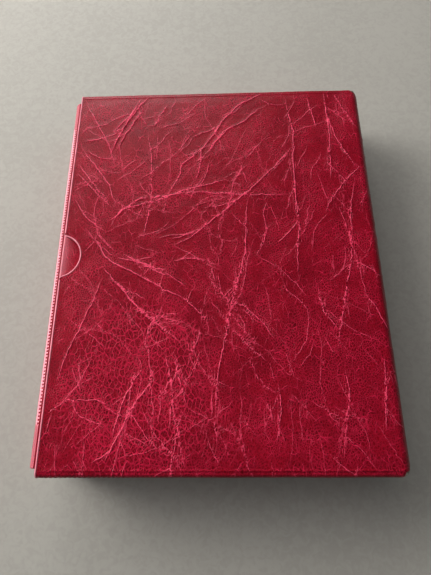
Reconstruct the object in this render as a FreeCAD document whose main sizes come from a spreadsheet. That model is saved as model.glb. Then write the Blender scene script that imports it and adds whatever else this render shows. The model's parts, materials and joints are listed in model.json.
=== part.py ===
"""A stamp album with concealed screw posts, lying inside its own slipcase.

Frame: millimetres, +Z up, origin at the middle of the underside of everything together. The case lies on
its rear face. The closed back is at +X, the open mouth at -X, the head of the book at +Y. The album sits
with its spine in the mouth and its front cover up.
"""

import FreeCAD
import Part
import Sketcher

import os
import re

doc = FreeCAD.newDocument("stamp_album")

# Driving sizes, each set by itself.
DRIVING = [
    ("album_width", 256.9, "album, spine to fore-edge"),
    ("album_height", 314.2, "album, tail to head"),
    ("album_thickness", 46.4, "album, rear cover to front cover"),
    ("spine_protrusion", 7.4, "how far the spine stands out of the mouth"),
    ("side_clearance", 2.4, "album to case, at the head and at the tail"),
    ("lower_clearance", 0.4, "album to case, under the rear cover"),
    ("upper_clearance", 1.2, "album to case, over the front cover"),
    ("back_clearance", 3.0, "fore-edge to the closed back"),
    ("case_skin", 0.6, "leatherette on the case"),
    ("case_board", 2.1, "greyboard in the case"),
    ("case_lining", 0.3, "lining paper in the case"),
    ("inner_bend_radius", 4.0, "inside the bends from the closed back to front and rear"),
    ("inner_corner_radius", 5.5, "inside the upright corners at the closed back"),
    ("inner_edge_radius", 0.5, "inside the long edges at the head and the tail"),
    ("notch_radius", 17.5, "thumb notch"),
    ("notch_setback", 2.9, "centre of the thumb notch, outside the mouth"),
    ("notch_flare", 3.5, "rounding where the notch meets the mouth"),
    ("turn_in", 12.0, "leatherette turned inside the mouth and the notch"),
    ("cover_skin", 0.8, "leatherette on the album"),
    ("cover_board", 2.4, "boards of the album"),
    ("cover_paper", 0.3, "endpapers and spine lining"),
    ("shoulder_radius", 5.5, "long edges of the spine"),
    ("hinge_gap", 2.5, "spine board to cover board, where the cover bends"),
    ("cover_turn_in", 12.0, "leatherette turned inside the covers"),
    ("groove_radius", 0.4, "welded grooves along the hinge"),
    ("outer_groove_inset", 3.4, "spine face to the ribbed groove"),
    ("groove_spacing", 1.6, "ribbed groove to plain groove"),
    ("leaf_setback", 2.0, "spine lining to the binding edges"),
    ("fore_square", 6.5, "how far the covers stand past the leaves at the fore-edge"),
    ("end_square", 8.1, "how far the covers stand past the leaves at the head and the tail"),
    ("leaf_gap", 0.3, "air between two leaves"),
    ("flap_width", 30.0, "binding flap, binding edge to its free edge"),
    ("flap_thickness", 2.4, "binding flap"),
    ("flap_clearance", 0.4, "binding flap to endpaper"),
    ("post_inset", 12.0, "binding edge to the post centres"),
    ("post_spacing", 100.0, "one post to the next"),
    ("barrel_radius", 2.75, "outside of the post barrel"),
    ("barrel_clearance", 0.3, "barrel to the holes it passes through"),
    ("shank_radius", 1.7, "screw shank, over its thread"),
    ("thread_clearance", 0.1, "shank to the barrel's bore"),
    ("shank_length", 16.0, "screw shank under its head"),
    ("bore_spare", 4.0, "bore left free beyond the screw's tip"),
    ("head_radius", 5.0, "screw head and barrel flange"),
    ("head_height", 1.1, "screw head and barrel flange"),
    ("head_clearance", 0.4, "heads to the recesses they sit in"),
    ("slot_width", 1.4, "coin slot across the screw head"),
    ("slot_depth", 0.6, "coin slot"),
]
LEAF_COUNT = 24

# Sizes that follow from the driving ones.
DERIVED = [
    ("case_wall", "case_skin + case_board + case_lining"),
    ("cover_wall", "cover_skin + cover_board + cover_paper"),
    ("cavity_length", "album_width - spine_protrusion + back_clearance"),
    ("cavity_half_height", "album_height / 2 + side_clearance"),
    ("cavity_low", "case_wall"),
    ("cavity_high", "cavity_low + lower_clearance + album_thickness + upper_clearance"),
    ("case_length", "cavity_length + case_wall"),
    ("case_right", "(case_length + spine_protrusion) / 2"),
    ("case_half_height", "cavity_half_height + case_wall"),
    ("case_top", "cavity_high + case_wall"),
    ("cavity_right", "case_right - case_wall"),
    ("mouth", "case_right - case_length"),
    ("bend_start", "cavity_right - inner_bend_radius"),
    ("spine_face", "mouth - spine_protrusion"),
    ("fore_edge", "spine_face + album_width"),
    ("album_low", "cavity_low + lower_clearance"),
    ("album_high", "album_low + album_thickness"),
    ("inner_low", "album_low + cover_wall"),
    ("inner_high", "album_high - cover_wall"),
    ("spine_board_left", "spine_face + cover_skin"),
    ("spine_board_right", "spine_board_left + cover_board"),
    ("cover_board_left", "spine_board_right + hinge_gap"),
    ("board_height", "album_height - 2 * cover_skin"),
    ("binding_edge", "spine_face + cover_wall + leaf_setback"),
    ("post_place", "binding_edge + post_inset"),
    ("rear_flap_low", "inner_low + flap_clearance"),
    ("front_flap_low", "inner_high - flap_clearance - flap_thickness"),
    ("leaves_low", "rear_flap_low + flap_thickness"),
    ("leaf_width", "fore_edge - fore_square - binding_edge"),
    ("leaf_height", "album_height - 2 * end_square"),
    ("leaf_pitch", f"(front_flap_low - leaves_low) / {LEAF_COUNT}"),
    ("leaf_thickness", "leaf_pitch - leaf_gap"),
    ("recess_depth", "head_height + head_clearance"),
    ("recess_radius", "head_radius + head_clearance"),
    ("barrel_low", "rear_flap_low + head_clearance"),
    ("head_low", "front_flap_low + flap_thickness - head_height"),
    ("barrel_high", "head_low - head_clearance"),
]

SHEET_NAMES = {entry[0]: "sizes." + entry[0] for entry in DRIVING + DERIVED}

THROUGH = 400.0  # longer than anything here, for tools that cut right through
EVERYWHERE = (f"{-THROUGH}", f"{THROUGH}")
TOUCHING = 0.001  # two places nearer than this are one
OPEN_END = 5.0  # how far the cavity tools run out of the mouth


def make_sheet():
    """The spreadsheet: driving sizes as numbers, then the sizes that follow from them."""
    sheet = doc.addObject("Spreadsheet::Sheet", "sizes")
    row = 1
    for alias, value, note in DRIVING:
        sheet.set(f"A{row}", alias)
        sheet.set(f"B{row}", str(value))
        sheet.set(f"C{row}", note)
        sheet.setAlias(f"B{row}", alias)
        row += 1
    for alias, formula in DERIVED:
        sheet.set(f"A{row}", alias)
        sheet.set(f"B{row}", "=" + formula)
        sheet.setAlias(f"B{row}", alias)
        row += 1
    doc.recompute()
    return sheet


sheet = make_sheet()
nodes = []  # the finished sub-parts, in order


def size(expression):
    """An expression in size names, with every name pointed at the sheet."""
    return re.sub(r"[A-Za-z_]\w*", lambda word: SHEET_NAMES.get(word[0], word[0]), expression)


def bind(thing, **sizes):
    """Bind properties of a thing to expressions; x, y and z are its place."""
    for name, expression in sizes.items():
        path = f".Placement.Base.{name}" if name in "xyz" else name
        thing.setExpression(path, size(str(expression)))


def keep(thing, label):
    """Make this object a sub-part of the model, under its own name."""
    thing.Label = label
    nodes.append(thing)
    return thing


# Tools and joins.


def box(name, x, y, z):
    """A box between pairs of expressions along each axis."""
    made = doc.addObject("Part::Box", name)
    bind(made, x=x[0], y=y[0], z=z[0])
    bind(
        made,
        Length=f"({x[1]}) - ({x[0]})",
        Width=f"({y[1]}) - ({y[0]})",
        Height=f"({z[1]}) - ({z[0]})",
    )
    return made


def cylinder(name, radius, height, x, y, z):
    """An upright cylinder on the point x, y, z."""
    made = doc.addObject("Part::Cylinder", name)
    bind(made, Radius=radius, Height=height, x=x, y=y, z=z)
    return made


def cut(name, base, *tools):
    """The base less each of the tools."""
    for number, tool in enumerate(tools, start=1):
        made = doc.addObject("Part::Cut", f"{name}_cut_{number}")
        made.Base = base
        made.Tool = tool
        base = made
    return base


def common(name, *shapes):
    """What all the shapes share."""
    made = doc.addObject("Part::MultiCommon", name)
    made.Shapes = list(shapes)
    return made


def fuse(name, *shapes):
    """The shapes as one."""
    made = doc.addObject("Part::MultiFuse", name)
    made.Shapes = list(shapes)
    return made


def constrain(sketch, name, expression, start, *constraint):
    """A named dimension of a sketch, drawn at a start value and then bound to an expression."""
    index = sketch.addConstraint(Sketcher.Constraint(*constraint, start))
    sketch.renameConstraint(index, name)
    sketch.setExpression(f"Constraints.{name}", size(expression))


def plan_sketch(owner, name, length, height, hole=None):
    """A rectangle whose low-x side is centred on the origin, with a row of post holes if hole is given."""
    sketch = owner(name)
    corners = [(0, -1), (1, -1), (1, 1), (0, 1)]
    points = [FreeCAD.Vector(100.0 * x, 100.0 * y, 0) for x, y in corners]
    for start, end in zip(points, points[1:] + points[:1]):
        sketch.addGeometry(Part.LineSegment(start, end))
    for line in range(4):
        sketch.addConstraint(Sketcher.Constraint("Coincident", line, 2, (line + 1) % 4, 1))
    for line, direction in enumerate(("Horizontal", "Vertical", "Horizontal", "Vertical")):
        sketch.addConstraint(Sketcher.Constraint(direction, line))
    sketch.addConstraint(Sketcher.Constraint("Symmetric", 3, 1, 3, 2, -1, 1))
    constrain(sketch, "length", length, 100.0, "DistanceX", 0, 1, 0, 2)
    constrain(sketch, "height", height, 200.0, "DistanceY", 1, 1, 1, 2)
    if hole:
        add_post_holes(sketch, hole)
    return sketch


def add_post_holes(sketch, radius):
    """Three circles where the posts pass: one on the middle line, one to the head, one to the tail."""
    for number, side in enumerate((-1, 0, 1)):
        centre = FreeCAD.Vector(12.0, 60.0 * side, 0)
        circle = sketch.addGeometry(Part.Circle(centre, FreeCAD.Vector(0, 0, 1), 3.0))
        constrain(sketch, f"hole_{number}", radius, 3.0, "Radius", circle)
        constrain(sketch, f"inset_{number}", "post_inset", 12.0, "DistanceX", -1, 1, circle, 3)
        if side == 0:
            sketch.addConstraint(Sketcher.Constraint("PointOnObject", circle, 3, -1))
            continue
        ends = (-1, 1, circle, 3) if side > 0 else (circle, 3, -1, 1)
        constrain(sketch, f"spacing_{number}", "post_spacing", 60.0, "DistanceY", *ends)


def origin_plane(body, role):
    """One of the body's own origin planes."""
    return next(plane for plane in body.Origin.OriginFeatures if plane.Role == role)


def in_body(body):
    """A maker of sketches on the body's XY plane."""

    def new_sketch(name):
        sketch = body.newObject("Sketcher::SketchObject", name)
        sketch.AttachmentSupport = [(origin_plane(body, "XY_Plane"), "")]
        sketch.MapMode = "FlatFace"
        return sketch

    return new_sketch


def plate(label, length, height, thickness, x, z, hole=None):
    """A padded plate centred in y, on its low-x side and underside."""
    body = doc.addObject("PartDesign::Body", label)
    sketch = plan_sketch(in_body(body), label + "_outline", length, height, hole)
    pad = body.newObject("PartDesign::Pad", label + "_pad")
    pad.Profile = sketch
    pad.setExpression("Length", size(thickness))
    bind(body, x=x, z=z)
    doc.recompute()
    return body


def round_edges(body, label, wanted, radius):
    """Round the edges of the body's tip that wanted(edge) picks out."""
    base = body.Tip
    names = [
        f"Edge{number}" for number, edge in enumerate(base.Shape.Edges, start=1) if wanted(edge)
    ]
    fillet = body.newObject("PartDesign::Fillet", label + "_rounding")
    fillet.Base = (base, names)
    fillet.setExpression("Radius", size(radius))
    body.Tip = fillet
    doc.recompute()
    return body


def runs_along(edge, axis):
    """True if the edge is a straight line along the axis."""
    spans = [edge.BoundBox.XLength, edge.BoundBox.YLength, edge.BoundBox.ZLength]
    return all(span < TOUCHING for number, span in enumerate(spans) if number != axis)


def at_far_end(edge, body):
    """True if the whole edge lies on the body's high-x side."""
    return edge.BoundBox.XMin > body.Tip.Shape.BoundBox.XMax - TOUCHING


def recess(body, label, low, depth):
    """Sink the post heads into a flap: three round pockets from height low upwards."""
    before = body.Shape.Volume
    sketch = in_body(body)(label + "_recess_outline")
    add_post_holes(sketch, "recess_radius")
    sketch.setExpression(".AttachmentOffset.Base.z", size(low))
    pocket = body.newObject("PartDesign::Pocket", label + "_recess")
    pocket.Profile = sketch
    pocket.Reversed = True
    pocket.setExpression("Length", size(depth))
    doc.recompute()
    if body.Shape.Volume > before - TOUCHING:
        raise RuntimeError(f"{label}: the recesses cut nothing")
    return body


# The slipcase. Its walls are three layers: leatherette, greyboard and lining paper. Each layer lies between
# two rounded envelopes of the cavity, and is parted into front, rear, head, tail and back pieces.


def envelope(name, grow, start):
    """The cavity grown by a thickness, from start to the closed back, with its edges rounded to match."""
    blocks = []
    for kind, axis in (("bend", 1), ("corner", 2), ("edge", 0)):
        block = plate(
            f"{name}_{kind}",
            f"cavity_right + {grow} - ({start})",
            f"2 * (cavity_half_height + {grow})",
            f"cavity_high - cavity_low + 2 * ({grow})",
            start,
            f"cavity_low - ({grow})",
        )

        def wanted(edge):
            return runs_along(edge, axis) and (axis == 0 or at_far_end(edge, block))

        round_edges(block, block.Label, wanted, f"inner_{kind}_radius + {grow}")
        blocks.append(block)
    return common(name, *blocks)


def notch_tool(name, grow):
    """The D of the thumb notch, grown by a thickness, with its two flared corners."""
    centre = "mouth - notch_setback"
    radius = f"(notch_radius + {grow})"
    flare = f"(notch_flare - {grow})"
    edge = f"(mouth + {grow})"
    reach = f"({edge} + {flare} - ({centre}))"
    half = f"sqrt(({radius} + {flare}) ^ 2 - {reach} ^ 2)"
    tangent = f"({centre}) + {radius} * {reach} / ({radius} + {flare})"
    low = f"{-THROUGH / 2}"
    bowl = cylinder(name + "_bowl", radius, THROUGH, centre, 0, low)
    lip = box(
        name + "_lip",
        (f"mouth - {OPEN_END}", tangent),
        (f"-{half}", half),
        (low, f"{THROUGH / 2}"),
    )
    flares = [
        cylinder(f"{name}_{end}_flare", flare, THROUGH, f"{edge} + {flare}", f"{side} * {half}", low)
        for end, side in (("tail", -1), ("head", 1))
    ]
    return fuse(name, bowl, cut(name + "_corners", lip, *flares))


whole_case = envelope("case_outside", "case_wall", "mouth")
board_space = envelope("board_outside", "(case_lining + case_board)", "mouth + case_skin")
lining_space = envelope("lining_outside", "case_lining", f"mouth - {OPEN_END}")
cavity = envelope("case_cavity", "0", f"mouth - {OPEN_END}")

skin_notch = notch_tool("skin_notch", "0")
board_notch = notch_tool("board_notch", "case_skin")
lining_notch = cylinder(
    "lining_notch",
    "notch_radius + turn_in",
    THROUGH,
    "mouth - notch_setback",
    0,
    -THROUGH / 2,
)
lined = box("lined_depth", ("mouth + turn_in", f"{THROUGH}"), EVERYWHERE, EVERYWHERE)
board_layer = cut("board_layer", board_space, lining_space)
lining_layer = common("lining_layer", cut("lining_shell", lining_space, cavity), lined)


def regions(name, level, reach=None):
    """Boxes that part a layer whose inner faces stand level off the cavity.

    With no reach the front and rear pieces run over the ends of the head and tail pieces. With a reach they
    stop there, and the head and tail pieces lap round them.
    """
    low, high = EVERYWHERE
    flat = (low, "bend_start")
    under, over = f"cavity_low - {level}", f"cavity_high + {level}"
    sides, inner, wall_heights = EVERYWHERE, "0", (under, over)
    if reach:
        sides, inner, wall_heights = (f"-({reach})", reach), reach, EVERYWHERE
        under = over = "(cavity_low + cavity_high) / 2"
    return {
        "front": box(name + "_front_region", flat, sides, (over, high)),
        "rear": box(name + "_rear_region", flat, sides, (low, under)),
        "head": box(name + "_head_region", flat, (inner, high), wall_heights),
        "tail": box(name + "_tail_region", flat, (low, f"-({inner})"), wall_heights),
        "back": box(name + "_back_region", ("bend_start", high), EVERYWHERE, EVERYWHERE),
    }


def layer_pieces(kind, layer, level, notch):
    """The five pieces of the boards or of the lining."""
    made = []
    for side, region in regions(kind, level).items():
        piece = common(f"{kind}_{side}", layer, region)
        if side in ("front", "rear"):
            piece = cut(f"{kind}_{side}_notched", piece, notch)
        made.append(keep(piece, f"case_{side}_{kind}"))
    return made


boards = layer_pieces("board", board_layer, "case_lining", board_notch)
linings = layer_pieces("lining", lining_layer, "0", lining_notch)
under_skin = fuse("under_skin", *boards, *linings)

# The leatherette is what is left of each wall when its boards and lining are taken out, so it wraps the
# mouth and the notch and is turned in behind them.
walls = cut("case_walls", whole_case, cavity)
for side, region in regions("skin", "0", "cavity_half_height").items():
    wall = common(f"wall_{side}", walls, region)
    if side in ("front", "rear"):
        wall = cut(f"wall_{side}_notched", wall, skin_notch)
    name = f"case_{side}_strip" if side in ("head", "tail") else f"case_{side}_skin"
    keep(cut(name, wall, under_skin), name)

# The album's covers: two cover boards and a spine board in one sheet of leatherette.

cover_length = "fore_edge - cover_skin - cover_board_left"
rear_board = plate(
    "rear_cover_board",
    cover_length,
    "board_height",
    "cover_board",
    "cover_board_left",
    "album_low + cover_skin",
)
front_board = plate(
    "front_cover_board",
    cover_length,
    "board_height",
    "cover_board",
    "cover_board_left",
    "album_high - cover_skin - cover_board",
)
spine_board = plate(
    "spine_board",
    "cover_board",
    "board_height",
    "album_thickness - 2 * shoulder_radius",
    "spine_board_left",
    "album_low + shoulder_radius",
)
paper_length = "fore_edge - cover_turn_in - cover_board_left"
paper_height = "album_height - 2 * cover_turn_in"
rear_paper = plate(
    "rear_endpaper",
    paper_length,
    paper_height,
    "cover_paper",
    "cover_board_left",
    "inner_low - cover_paper",
)
front_paper = plate(
    "front_endpaper",
    paper_length,
    paper_height,
    "cover_paper",
    "cover_board_left",
    "inner_high",
)
spine_paper = plate(
    "spine_lining",
    "cover_paper",
    paper_height,
    "album_thickness - 2 * shoulder_radius",
    "spine_board_right",
    "album_low + shoulder_radius",
)
cover_parts = [front_board, rear_board, spine_board, front_paper, rear_paper, spine_paper]
for body in cover_parts:
    keep(body, body.Label)


def album_envelope():
    """The outside of the closed album, with the two shoulders of its spine rounded."""
    block = plate(
        "album_outside", "album_width", "album_height", "album_thickness", "spine_face", "album_low"
    )

    def wanted(edge):
        return runs_along(edge, 1) and edge.BoundBox.XMax < TOUCHING

    return round_edges(block, "album_outside", wanted, "shoulder_radius")


def hinge_grooves():
    """The welded lines along both hinges: a ribbed one on the shoulder and a plain one beside it."""
    grooves = []
    for name, inset in (("ribbed", "outer_groove_inset"), ("plain", "outer_groove_inset + groove_spacing")):
        drop = f"(shoulder_radius - sqrt(shoulder_radius ^ 2 - (shoulder_radius - ({inset})) ^ 2))"
        for face, height in (("front", f"album_high - {drop}"), ("rear", f"album_low + {drop}")):
            groove = doc.addObject("Part::Cylinder", f"{face}_{name}_groove")
            groove.Placement.Rotation = FreeCAD.Rotation(FreeCAD.Vector(1, 0, 0), -90)
            bind(groove, Radius="groove_radius", Height="album_height")
            bind(groove, x=f"spine_face + {inset}", y="-album_height / 2", z=height)
            grooves.append(groove)
    return grooves


page_space = box(
    "page_space",
    ("spine_face + cover_wall", f"fore_edge + {OPEN_END}"),
    ("-album_height", "album_height"),
    ("inner_low", "inner_high"),
)
hinge_web = "cover_skin + cover_paper"
hinge_spaces = [
    box(
        f"{face}_hinge_space",
        ("spine_board_right + cover_paper", "cover_board_left"),
        ("-album_height", "album_height"),
        heights,
    )
    for face, heights in (
        ("front", ("inner_high", f"album_high - ({hinge_web})")),
        ("rear", (f"album_low + {hinge_web}", "inner_low")),
    )
]
skin = cut("album_shell", album_envelope(), page_space, fuse("cover_stack", *cover_parts))
skin = cut("album_hinges", skin, *hinge_spaces, fuse("hinge_grooves", *hinge_grooves()))
keep(skin, "album_cover_skin")

# The binding: a flap inside each cover, and three posts through flaps and leaves.

hole = "barrel_radius + barrel_clearance"
front_flap = plate(
    "front_binding_flap",
    "flap_width",
    "leaf_height",
    "flap_thickness",
    "binding_edge",
    "front_flap_low",
    hole,
)
recess(front_flap, "front_binding_flap", "flap_thickness - recess_depth", "recess_depth")
rear_flap = plate(
    "rear_binding_flap",
    "flap_width",
    "leaf_height",
    "flap_thickness",
    "binding_edge",
    "rear_flap_low",
    hole,
)
recess(rear_flap, "rear_binding_flap", "0", "recess_depth")
for body in (front_flap, rear_flap):
    keep(body, body.Label)


def post_barrel(place, y):
    """A tube with a flange under the rear flap, bored from the top for its screw."""
    name = f"{place}_post_barrel"
    flange = cylinder(name + "_flange", "head_radius", "head_height", "post_place", y, "barrel_low")
    tube = cylinder(
        name + "_tube", "barrel_radius", "barrel_high - barrel_low", "post_place", y, "barrel_low"
    )
    bore = cylinder(
        name + "_bore",
        "shank_radius + thread_clearance",
        "shank_length + bore_spare",
        "post_place",
        y,
        "barrel_high - shank_length - bore_spare + thread_clearance",
    )
    keep(cut(name, fuse(name + "_blank", flange, tube), bore), name)


def post_screw(place, y):
    """A flat-headed screw with a coin slot, its head sunk in the front flap."""
    name = f"{place}_post_screw"
    head = cylinder(name + "_head", "head_radius", "head_height", "post_place", y, "head_low")
    shank = cylinder(
        name + "_shank", "shank_radius", "shank_length", "post_place", y, "head_low - shank_length"
    )
    slot = box(
        name + "_slot",
        ("post_place - slot_width / 2", "post_place + slot_width / 2"),
        (f"{y} - head_radius", f"{y} + head_radius"),
        ("head_low + head_height - slot_depth", "head_low + head_height"),
    )
    keep(cut(name, fuse(name + "_blank", head, shank), slot), name)


for place, y in (("tail", "-post_spacing"), ("middle", "0"), ("head", "post_spacing")):
    post_barrel(place, y)
    post_screw(place, y)

leaf_outline = plan_sketch(
    lambda name: doc.addObject("Sketcher::SketchObject", name),
    "leaf_outline",
    "leaf_width",
    "leaf_height",
    hole,
)
for number in range(LEAF_COUNT):
    name = f"leaf_{number + 1:02d}"
    leaf = doc.addObject("Part::Extrusion", name)
    leaf.Base = leaf_outline
    leaf.DirMode = "Custom"
    leaf.Dir = FreeCAD.Vector(0, 0, 1)
    leaf.Solid = True
    leaf.setExpression("LengthFwd", size("leaf_thickness"))
    bind(leaf, x="binding_edge", z=f"leaves_low + leaf_gap / 2 + {number} * leaf_pitch")
    keep(leaf, name)

# Recompute, look for anything that failed, and write every sub-part.

doc.recompute()
for thing in doc.Objects:
    if {"Invalid", "Error"} & set(thing.State):
        raise RuntimeError(f"{thing.Label} failed: {thing.State}")
for node in nodes:
    if node.Shape.isNull() or not node.Shape.isValid() or len(node.Shape.Solids) != 1:
        raise RuntimeError(f"{node.Label} isn't one valid solid")

os.makedirs("parts", exist_ok=True)
for node in nodes:
    node.Shape.exportStep(f"parts/{node.Label}.step")
    bounds = node.Shape.BoundBox
    print(
        f"{node.Label:22s} {node.Shape.Volume / 1000:9.3f} cm3"
        f"  x {bounds.XMin:8.2f} {bounds.XMax:8.2f}"
        f"  y {bounds.YMin:8.2f} {bounds.YMax:8.2f}"
        f"  z {bounds.ZMin:6.2f} {bounds.ZMax:6.2f}"
    )
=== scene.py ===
# %% [markdown]
# # A stamp album in its slipcase
#
# The object is a slipcase of greyboard covered in red crushed leatherette. It lies flat with its open
# mouth to the left, and a loose-leaf stamp album sits in it with its spine showing at the mouth. The
# frame comes from the CAD model. Everything here is looks: the leatherette with its creases, the welded
# hinge of the album, the leaves, and the finish of every board, paper and post.

import json
import math
import random

import bpy
import numpy as np
from mathutils import Matrix, Vector, noise


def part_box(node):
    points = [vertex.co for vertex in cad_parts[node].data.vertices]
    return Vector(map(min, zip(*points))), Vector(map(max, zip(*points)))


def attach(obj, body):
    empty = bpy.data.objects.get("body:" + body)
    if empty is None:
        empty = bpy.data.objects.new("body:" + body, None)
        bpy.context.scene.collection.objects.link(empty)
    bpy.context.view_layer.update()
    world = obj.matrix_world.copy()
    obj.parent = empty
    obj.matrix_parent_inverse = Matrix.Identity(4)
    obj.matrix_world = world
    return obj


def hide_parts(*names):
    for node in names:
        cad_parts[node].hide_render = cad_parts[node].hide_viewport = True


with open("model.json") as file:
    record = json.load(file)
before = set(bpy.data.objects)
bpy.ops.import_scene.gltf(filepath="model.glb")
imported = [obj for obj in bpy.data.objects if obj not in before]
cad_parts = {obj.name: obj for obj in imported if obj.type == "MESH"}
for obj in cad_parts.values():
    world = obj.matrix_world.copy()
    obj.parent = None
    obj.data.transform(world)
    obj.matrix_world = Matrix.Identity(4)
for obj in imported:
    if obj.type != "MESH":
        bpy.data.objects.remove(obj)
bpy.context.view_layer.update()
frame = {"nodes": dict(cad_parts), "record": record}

# %% [markdown]
# The camera is set first. A phone's main lens is close to 24 mm on a 36 mm frame. It was held over the
# tail of the case, looking down at about seventy degrees, and turned a little. Its place is given in
# millimetres from the middle of the case's front, so that it follows the case if that changes.

# %% Camera
MM = 0.001


def box_mm(node):
    """Lowest and highest corner of a CAD node, in millimetres."""
    low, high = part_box(node)
    return np.array(low) / MM, np.array(high) / MM


mouth = box_mm("case_front_skin")[0][0]
back = box_mm("case_back_skin")[1][0]
case_top = box_mm("case_front_skin")[1][2]
half_height = box_mm("case_head_strip")[1][1]
case_middle = (mouth + back) / 2

CAMERA_FROM_MIDDLE = (3.55, -118.6, 281.3)  # right, towards the head, above the front of the case
TILT, TURN, ROLL = 17.84, 4.64, -5.15  # degrees: off straight down, round the vertical, about the lens
LENS = 23.85

camera = bpy.data.objects.new("camera", bpy.data.cameras.new("camera"))
bpy.context.scene.collection.objects.link(camera)
bpy.context.scene.camera = camera
camera.data.lens = LENS
camera.data.sensor_width = 36.0
camera.data.clip_start = 0.01
right, towards_head, above = CAMERA_FROM_MIDDLE
camera.matrix_world = (
    Matrix.Translation(Vector((case_middle + right, towards_head, case_top + above)) * MM)
    @ Matrix.Rotation(math.radians(TURN), 4, "Z")
    @ Matrix.Rotation(math.radians(TILT), 4, "X")
    @ Matrix.Rotation(math.radians(ROLL), 4, "Z")
)
print("case", round(back - mouth, 1), "by", round(2 * half_height, 1), "mm, top at", round(case_top, 1))

# %% [markdown]
# The studio is a pale floor, a dim even room and four soft lamps. Two stand low, like windows: one beyond
# the head, which glances off the head edge, and one at the left, which the rolled rims catch. The other
# two, one at the left and one overhead, are kept out of the reflections, so they light the colour without
# veiling it.

# %% Floor and lights
FLOOR_SIZE = 6.0


def flat_mesh(name, size):
    """A square mesh on the floor plane."""
    half = size / 2
    mesh = bpy.data.meshes.new(name)
    corners = [(-half, -half, 0), (half, -half, 0), (half, half, 0), (-half, half, 0)]
    mesh.from_pydata(corners, [], [(0, 1, 2, 3)])
    made = bpy.data.objects.new(name, mesh)
    bpy.context.scene.collection.objects.link(made)
    return made


def area_light(name, place, size, power, colour, reflected=True):
    """A square soft lamp aimed at the middle of the case, seen in shiny surfaces or not."""
    light = bpy.data.lights.new(name, "AREA")
    light.shape = "SQUARE"
    light.size = size
    light.energy = power
    light.color = colour
    made = bpy.data.objects.new(name, light)
    bpy.context.scene.collection.objects.link(made)
    made.location = place
    aim = Vector((0.0, 0.0, case_top * MM)) - made.location
    made.rotation_euler = aim.to_track_quat("-Z", "Y").to_euler()
    made.visible_glossy = reflected
    return made


floor = flat_mesh("floor", FLOOR_SIZE)
bpy.context.scene.view_settings.view_transform = "Standard"
area_light("head_window", (-0.6, 2.0, 0.95), 1.3, 26.0, (1.0, 0.99, 0.97))
area_light("left_window", (-1.9, 0.5, 0.7), 1.2, 22.0, (1.0, 0.99, 0.97))
area_light("left_daylight", (-1.5, 0.9, 0.85), 1.2, 48.0, (1.0, 0.98, 0.95), reflected=False)
area_light("overhead", (-0.3, 0.2, 2.4), 2.0, 10.0, (1.0, 0.98, 0.95), reflected=False)
world = bpy.data.worlds.new("room")
bpy.context.scene.world = world
world.use_nodes = True
world.node_tree.nodes["Background"].inputs["Color"].default_value = (0.86, 0.9, 0.95, 1.0)
world.node_tree.nodes["Background"].inputs["Strength"].default_value = 0.1

# %% [markdown]
# Every material is built from nodes. These helpers keep that short: one turns an sRGB hex colour into
# linear light, one adds a node with its settings and links, and one starts a material and hands back its
# tree and its shader.

# %% Material helpers


def hex_colour(code):
    """An sRGB hex colour as linear light with alpha."""
    channels = [int(code[i : i + 2], 16) / 255 for i in (1, 3, 5)]
    linear = [c / 12.92 if c <= 0.04045 else ((c + 0.055) / 1.055) ** 2.4 for c in channels]
    return (*linear, 1.0)


def add(tree, kind, settings=None, **links):
    """A node with its settings. A link or value goes to the input of that name, _ standing for a space."""
    made = tree.nodes.new(kind)
    for name, value in (settings or {}).items():
        setattr(made, name, value)
    for name, value in links.items():
        key = int(name[1:]) if name[0] == "i" and name[1:].isdigit() else name.replace("_", " ")
        if isinstance(value, bpy.types.NodeSocket):
            tree.links.new(value, made.inputs[key])
        else:
            made.inputs[key].default_value = value
    return made


def start_material(name):
    """A new material, its tree and its shader."""
    material = bpy.data.materials.new(name)
    material.use_nodes = True
    tree = material.node_tree
    return material, tree, tree.nodes["Principled BSDF"]


def sum_of(tree, *values):
    """The values added up."""
    total = values[0]
    for value in values[1:]:
        total = add(tree, "ShaderNodeMath", {"operation": "ADD"}, i0=total, i1=value).outputs[0]
    return total


def times(tree, a, b):
    """One value times another."""
    return add(tree, "ShaderNodeMath", {"operation": "MULTIPLY"}, i0=a, i1=b).outputs[0]


def step(tree, value, low, high, start=0.0, end=1.0):
    """A value eased from start to end as it goes from low to high."""
    kind = {"interpolation_type": "SMOOTHSTEP"}
    made = add(tree, "ShaderNodeMapRange", kind, Value=value)
    made.inputs["From Min"].default_value = low
    made.inputs["From Max"].default_value = high
    made.inputs["To Min"].default_value = start
    made.inputs["To Max"].default_value = end
    return made.outputs["Result"]


def blend_colour(tree, factor, first, second):
    """The first colour turning into the second."""
    made = add(tree, "ShaderNodeMix", {"data_type": "RGBA"})
    for socket, value in ((made.inputs[0], factor), (made.inputs[6], first), (made.inputs[7], second)):
        if isinstance(value, bpy.types.NodeSocket):
            tree.links.new(value, socket)
        else:
            socket.default_value = value
    return made.outputs[2]


def set_relief(tree, shader, height):
    """Fine relief that is too small for the mesh, from a height in metres."""
    bump = add(tree, "ShaderNodeBump", None, Strength=1.0, Distance=1.0, Height=height)
    tree.links.new(bump.outputs["Normal"], shader.inputs["Normal"])


def per_mm(size):
    """The texture scale that gives features of this size in millimetres."""
    return 1.0 / (size * MM)


def noise_of(tree, place, size, detail=2.0, distortion=0.0):
    """Smooth noise whose lumps are about size millimetres."""
    made = add(tree, "ShaderNodeTexNoise", None, Vector=place, Scale=per_mm(size), Detail=detail)
    made.inputs["Distortion"].default_value = distortion
    return made
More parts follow.
